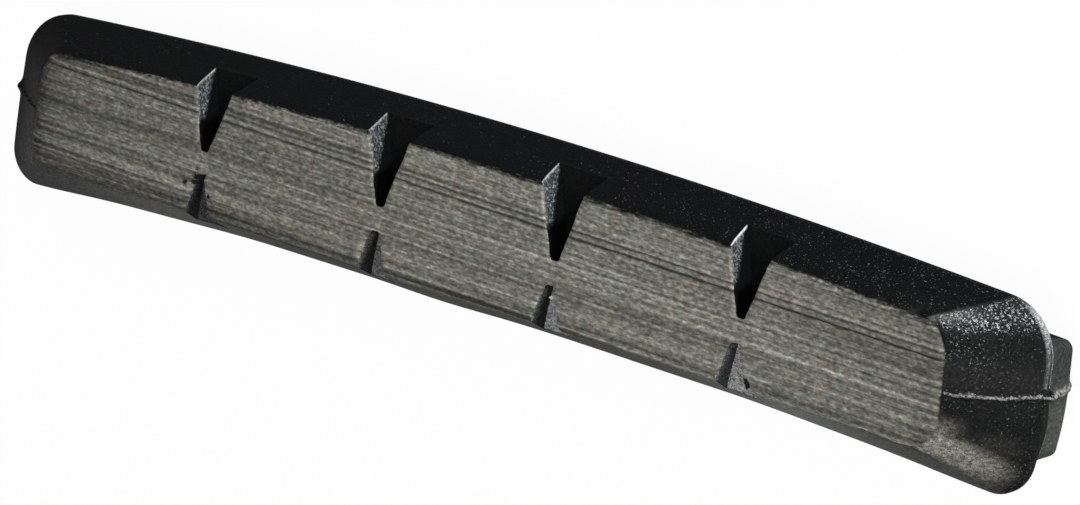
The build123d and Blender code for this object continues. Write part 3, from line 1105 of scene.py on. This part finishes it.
# rubber: moulded skin, ground friction face and the dust that grinding leaves in the grooves, with painted
# light, shade, glints and sheen
rubberLook = {
    "skin": (0.0026, 0.0029, 0.003, 1),
    "skinLight": (0.0058, 0.0063, 0.0066, 1),
    # specks and sparkle: painted glints
    "glintSpeck": (0.062, 0.068, 0.071, 1),
    "sparkle": (0.48, 0.5, 0.515, 1),
    # grey film, mostly painted sheen and reflection
    "filmAndSheen": (0.062, 0.066, 0.0625, 1),
    "groundMid": (0.157, 0.154, 0.140, 1),
    "groundBrown": (0.147, 0.133, 0.110, 1),
    "groundGreen": (0.144, 0.151, 0.130, 1),
    "groundDark": (0.016, 0.016, 0.015, 1),
    # dust in the outer grooves: its bright colour is painted light on the walls that the light reaches
    "dustAndLightDark": (0.025, 0.029, 0.031, 1),
    "dustAndLightBright": (0.222, 0.25, 0.26, 1),
    # bloom in the inner grooves with painted light, and a painted highlight on the land's corner
    "bloom": (0.24, 0.25, 0.255, 1),
    # worn corners with a painted glint
    "arrisGlint": (0.68, 0.7, 0.71, 1),
    # scuff with a painted sheen
    "scuffAndSheen": (0.235, 0.23, 0.205, 1),
    # pale grey of the right end's flash: a painted highlight
    "flash": (0.23, 0.23, 0.22, 1),
    "flake": (0.45, 0.46, 0.45, 1),
    "specular": 0.008,
    "skinRoughness": 0.62,
    "groundRoughness": 0.8,
    "bump": (0.8, 0.00004),      # strength, and height in m
    "glitterGain": 0.2,          # how much denser the painted glint specks are where the highlight glitters
    "scoreEdge": (0.2, 1.4),     # shares of a score's width between which it fades
    "noise": {                   # cells per mm, detail, and how far drawn out along the grinding lines
        "grain": (7.0, 2.0, 1),
        "fine": (16.0, 1.0, 1),
        "mottle": (3.5, 3.0, 1),
        "patches": (0.6, 2.0, 1),
        "tints": (1.1, 2.0, 1),
        "drift": (0.5, 2.0, 1),
        "dashes": (7.0, 2.0, 8),
        "lines": (3.8, 3.0, 200),
        "crumbs": (6.5, 2.0, 1.8),
    },
    "mix": {                     # how far each noise moves a finish
        "glintSpecks": {"grain": 0.62, "fine": 0.38, "patches": 0.12},
        "filmAndSheen": {"mottle": 1.5, "grain": 1.3},
        "fibres": {"crumbs": 0.7, "fine": 0.7, "mottle": 0.6},
        "scuffAndSheen": {"fine": 2.0, "crumbs": 1.7, "mottle": 1.0},
        "bloom": {"fine": 3.0, "crumbs": 2.0},
        "ground": {"lines": 3.05, "dashes": 0.95, "crumbs": 2.6, "patches": 0.5},
        "groundEdge": {"crumbs": 0.4, "dashes": 0.6, "lines": 0.3},
        "scoreWander": {"drift": 0.09, "dashes": 0.1},   # mm
        "dustAndLight": {"grain": 0.6, "mottle": 0.5, "fine": 0.3},
        "dustAndLightEdge": {"grain": 0.35},
        "skinHeight": {"grain": 1.0, "fine": 0.4, "mottle": 0.8},
        "groundHeight": {"lines": 0.4, "dashes": 0.3, "crumbs": 0.5},
    },
    "range": {                   # from and to, and the shares there where they aren't 0 and 1
        "skinLight": (0.35, 0.75),
        "glintSpeck": (0.20, 0.27),
        "sparkle": (0.21, 0.41),
        "glitter": (0.5, 0.95, 0.1, 1.0),
        "scuffAndSheen": (0.2, 0.65, 0.55, 1.0),
        "bloom": (0.2, 0.6, 0.4, 1.0),
        "brown": (0.42, 0.65, 0.0, 0.8),
        "green": (0.42, 0.62, 0.0, 0.9),
        "shade": (0.35, 0.65, 1.2, 0.8),
        "groundEdge": (0.1, 0.9),
        "scoreWidth": (0.3, 0.7, 0.5 * mm, 1.5 * mm),
        "scoreLength": (-30 * mm, 30 * mm, 0.9, 1.2),
        "dustAndLight": (-0.06, 0.26),
        "dustAndLightEdge": (-0.08, 0.35),
        "arrisGlint": (0.3, 0.6, 0.6, 1.0),
        "pit": (0.2, 0.7),
        "flake": (0.3, 0.7),
        "flash": (0.3, 0.8),
        "flashGrain": (0.34, 0.6, 0.1, 1.0),
    },
}


def scoreMask(tree, coords, noise, look):
    # 1 along each score: distance from its line, with a slight wander, against a width that
    # the noise breaks up, stronger towards the right
    place = put(tree, "ShaderNodeSeparateXYZ", {0: coords})
    wander = calc(tree, "MULTIPLY", swing(tree, noise, look["mix"]["scoreWander"]), mm)
    across = calc(tree, "ADD", place.outputs["Y"], wander)
    start, end = look["scoreEdge"]
    mask = None
    for middle, slope, width, strength in wearForm["scores"]:
        line = calc(tree, "MULTIPLY_ADD", place.outputs["X"], -slope)
        line.node.inputs[2].default_value = -middle * mm
        away = calc(tree, "ABSOLUTE", calc(tree, "ADD", across, line))
        away = calc(tree, "DIVIDE", away, ease(tree, noise["dashes"], *look["range"]["scoreWidth"]))
        one = ease(tree, away, start * width, end * width, strength, 0.0)
        mask = one if mask is None else calc(tree, "MAXIMUM", mask, one)
    return calc(tree, "MULTIPLY", mask, ease(tree, place.outputs["X"], *look["range"]["scoreLength"]))


def rubberMaterial(look):
    material = bpy.data.materials.new("rubber")
    material.use_nodes = True
    tree = material.node_tree
    shader = tree.nodes["Principled BSDF"]
    coords = put(tree, "ShaderNodeTexCoord").outputs["Object"]
    turn = (0, 0, -math.atan(wearForm["lineSlope"]))
    lengthwise = put(tree, "ShaderNodeMapping", {"Vector": coords, "Rotation": turn}).outputs[0]
    noise = {}
    for name, (scale, detail, stretch) in look["noise"].items():
        noise[name] = grainNoise(tree, coords if stretch == 1 else lengthwise, scale, detail, stretch)

    def swung(name):
        return swing(tree, noise, look["mix"][name])

    def eased(name, value):
        return ease(tree, value, *look["range"][name])

    def times(first, second):
        return calc(tree, "MULTIPLY", first, second)

    def plus(first, second):
        return calc(tree, "ADD", first, second)

    def power(value):
        return calc(tree, "EXPONENT", value)

    # moulded skin with fine specks of painted glint, dense and bright where a highlight is painted, under a
    # thin grey film that is mostly painted sheen
    glitter = attribute(tree, "glitter")
    glintSpecks = plus(swung("glintSpecks"), times(glitter, look["glitterGain"]))
    skin = blend(tree, eased("skinLight", noise["fine"]), look["skin"], look["skinLight"])
    filmedAndSheen = attribute(tree, "filmAndSheen")
    thickness = times(calc(tree, "MAXIMUM", filmedAndSheen, 1.0), power(swung("filmAndSheen")))
    skin = blend(tree, filmedAndSheen, skin, scaled(tree, look["filmAndSheen"][:3], thickness))
    skin = blend(tree, eased("glintSpeck", glintSpecks), skin, look["glintSpeck"])
    skin = blend(tree, times(eased("sparkle", glintSpecks), eased("glitter", glitter)), skin, look["sparkle"])
    # scuff and painted sheen on the inner hip
    fibres = plus(swung("fibres"), noiseMiddle)
    scuffedAndSheen = times(attribute(tree, "scuffAndSheen"), eased("scuffAndSheen", fibres))
    skin = blend(tree, scuffedAndSheen, skin, scaled(tree, look["scuffAndSheen"][:3], power(swung("scuffAndSheen"))))

    # ground face: long lines, a few dashes and a fine grit, scored, and darker where it is shaded
    tone = power(plus(swung("ground"), attribute(tree, "lighter")))
    ground = blend(tree, eased("brown", noise["patches"]), look["groundMid"], look["groundBrown"])
    ground = blend(tree, eased("green", noise["tints"]), ground, look["groundGreen"])
    ground = scaled(tree, ground, tone)
    ground = blend(tree, scoreMask(tree, coords, noise, look), ground, look["groundDark"])
    shaded = times(attribute(tree, "shade"), eased("shade", noise["lines"]))
    ground = blend(tree, shaded, ground, look["groundDark"])

    # dust and bloom in the grooves with their painted light, bright corners worn and with painted glints,
    # and then the face, its nicks and flakes, and the flash, pale where a highlight is painted on it
    dustAndLight = blend(tree, eased("dustAndLight", swung("dustAndLight")), look["dustAndLightDark"], look["dustAndLightBright"])
    dustedAndLit = eased("dustAndLightEdge", plus(attribute(tree, "dustAndLight"), swung("dustAndLightEdge")))
    bloom = times(attribute(tree, "bloom"), eased("bloom", fibres))
    colour = blend(tree, bloom, skin, scaled(tree, look["bloom"][:3], power(swung("bloom"))))
    colour = blend(tree, dustedAndLit, colour, dustAndLight)
    # worn corners with a painted glint along them
    worn = times(attribute(tree, "arrisGlint"), eased("arrisGlint", noise["mottle"]))
    colour = blend(tree, worn, colour, look["arrisGlint"])
    covered = eased("groundEdge", plus(attribute(tree, "cover"), swung("groundEdge")))
    colour = blend(tree, covered, colour, ground)
    colour = blend(tree, eased("pit", attribute(tree, "pit")), colour, look["groundDark"])
    colour = blend(tree, eased("flake", attribute(tree, "flake")), colour, look["flake"])
    raised = times(eased("flash", attribute(tree, "flash")), eased("flashGrain", noise["grain"]))
    colour = blend(tree, raised, colour, look["flash"])
    tree.links.new(colour, shader.inputs["Base Color"])

    rough = ease(tree, covered, 0, 1, look["skinRoughness"], look["groundRoughness"])
    tree.links.new(rough, shader.inputs["Roughness"])
    shader.inputs["Specular IOR Level"].default_value = look["specular"]

    height = put(tree, "ShaderNodeMix", {0: covered, 2: swung("skinHeight"), 3: swung("groundHeight")})
    strength, distance = look["bump"]
    bump = put(tree, "ShaderNodeBump", {"Height": height.outputs[0], "Strength": strength,
                                        "Distance": distance})
    tree.links.new(bump.outputs[0], shader.inputs["Normal"])
    return material


padMesh.materials.append(rubberMaterial(rubberLook))
print("rubber material made")

# camera, from the photograph
photoView = {
    "yaw": 31.206,
    "tilt": 14.035,
    "roll": -8.921,
    "distance": 273.699,             # mm, from the aim point
    "aim": (2.076, -1.457, 1.768),   # mm
    "lens": 161.17,                  # mm
    "sensor": 36,                    # mm
    "nearest": 0.01,                 # m
}


def placeCamera(view):
    yaw, tilt, roll = (math.radians(view[key]) for key in ("yaw", "tilt", "roll"))
    back = Vector((math.sin(yaw) * math.cos(tilt), math.sin(tilt), math.cos(yaw) * math.cos(tilt)))
    right = Vector((math.cos(yaw), 0, -math.sin(yaw)))
    up = back.cross(right)
    right, up = (right * math.cos(roll) - up * math.sin(roll), right * math.sin(roll) + up * math.cos(roll))
    data = bpy.data.cameras.new("photoCamera")
    data.sensor_width = view["sensor"]
    data.lens = view["lens"]
    data.clip_start = view["nearest"]
    camera = bpy.data.objects.new("photoCamera", data)
    bpy.context.scene.collection.objects.link(camera)
    camera.matrix_world = Matrix((right, up, back)).transposed().to_4x4()
    camera.location = (Vector(view["aim"]) + back * view["distance"]) * mm
    bpy.context.scene.camera = camera


placeCamera(photoView)

# floor and light, in metres
studio = {
    "floor": (0.8, 0.8, 0.8, 1),
    "floorWhite": 0.957,     # share of plain white that the camera and reflections see on the floor
    "floorRoughness": 0.9,
    "floorSpecular": 0.1,
    "floorHalf": 3,          # half the floor's width
    "floorBelow": 0.00002,   # a hair under the pad's back
    "world": 0.35,
    "key": {"towards": (0.65, 0.74, 0.14), "away": 0.5, "size": 0.06, "watts": 3.0, "colour": (1, 1, 1)},
    "fill": {"towards": (0.35, -0.2, 0.92), "away": 0.45, "size": 0.4, "watts": 1.3,
             "colour": (1, 0.985, 0.95)},
}


def makeFloor(look):
    mesh = bpy.data.meshes.new("floor")
    corners = ((-1, -1), (1, -1), (1, 1), (-1, 1))
    points = [(x * look["floorHalf"], y * look["floorHalf"], -look["floorBelow"]) for x, y in corners]
    mesh.from_pydata(points, [], [(0, 1, 2, 3)])
    floor = bpy.data.objects.new("floor", mesh)
    bpy.context.scene.collection.objects.link(floor)
    material = bpy.data.materials.new("paleFloor")
    material.use_nodes = True
    tree = material.node_tree
    shader = tree.nodes["Principled BSDF"]
    shader.inputs["Base Color"].default_value = look["floor"]
    shader.inputs["Roughness"].default_value = look["floorRoughness"]
    shader.inputs["Specular IOR Level"].default_value = look["floorSpecular"]
    path = put(tree, "ShaderNodeLightPath")
    seen = calc(tree, "MAXIMUM", path.outputs["Is Camera Ray"], path.outputs["Is Glossy Ray"])
    seen = calc(tree, "MAXIMUM", seen, path.outputs["Is Transmission Ray"])
    white = put(tree, "ShaderNodeEmission", {"Color": (1, 1, 1, 1), "Strength": 1.0})
    share = calc(tree, "MULTIPLY", seen, look["floorWhite"])
    mixed = put(tree, "ShaderNodeMixShader", {0: share, 1: shader.outputs[0], 2: white.outputs[0]})
    tree.links.new(mixed.outputs[0], tree.nodes["Material Output"].inputs["Surface"])
    mesh.materials.append(material)


def makeLamp(name, lamp):
    data = bpy.data.lights.new(name, "AREA")
    data.shape = "DISK"
    data.size = lamp["size"]
    data.energy = lamp["watts"]
    data.color = lamp["colour"]
    light = bpy.data.objects.new(name, data)
    bpy.context.scene.collection.objects.link(light)
    towards = Vector(lamp["towards"]).normalized()
    light.location = towards * lamp["away"]
    light.rotation_euler = towards.to_track_quat("Z", "Y").to_euler()


makeFloor(studio)
for name in ("key", "fill"):
    makeLamp(name, studio[name])
world = bpy.data.worlds.new("studio")
world.use_nodes = True
world.node_tree.nodes["Background"].inputs["Color"].default_value = (1, 1, 1, 1)
world.node_tree.nodes["Background"].inputs["Strength"].default_value = studio["world"]
bpy.context.scene.world = world
bpy.context.scene.view_settings.view_transform = "Standard"
print("floor, light and camera placed")
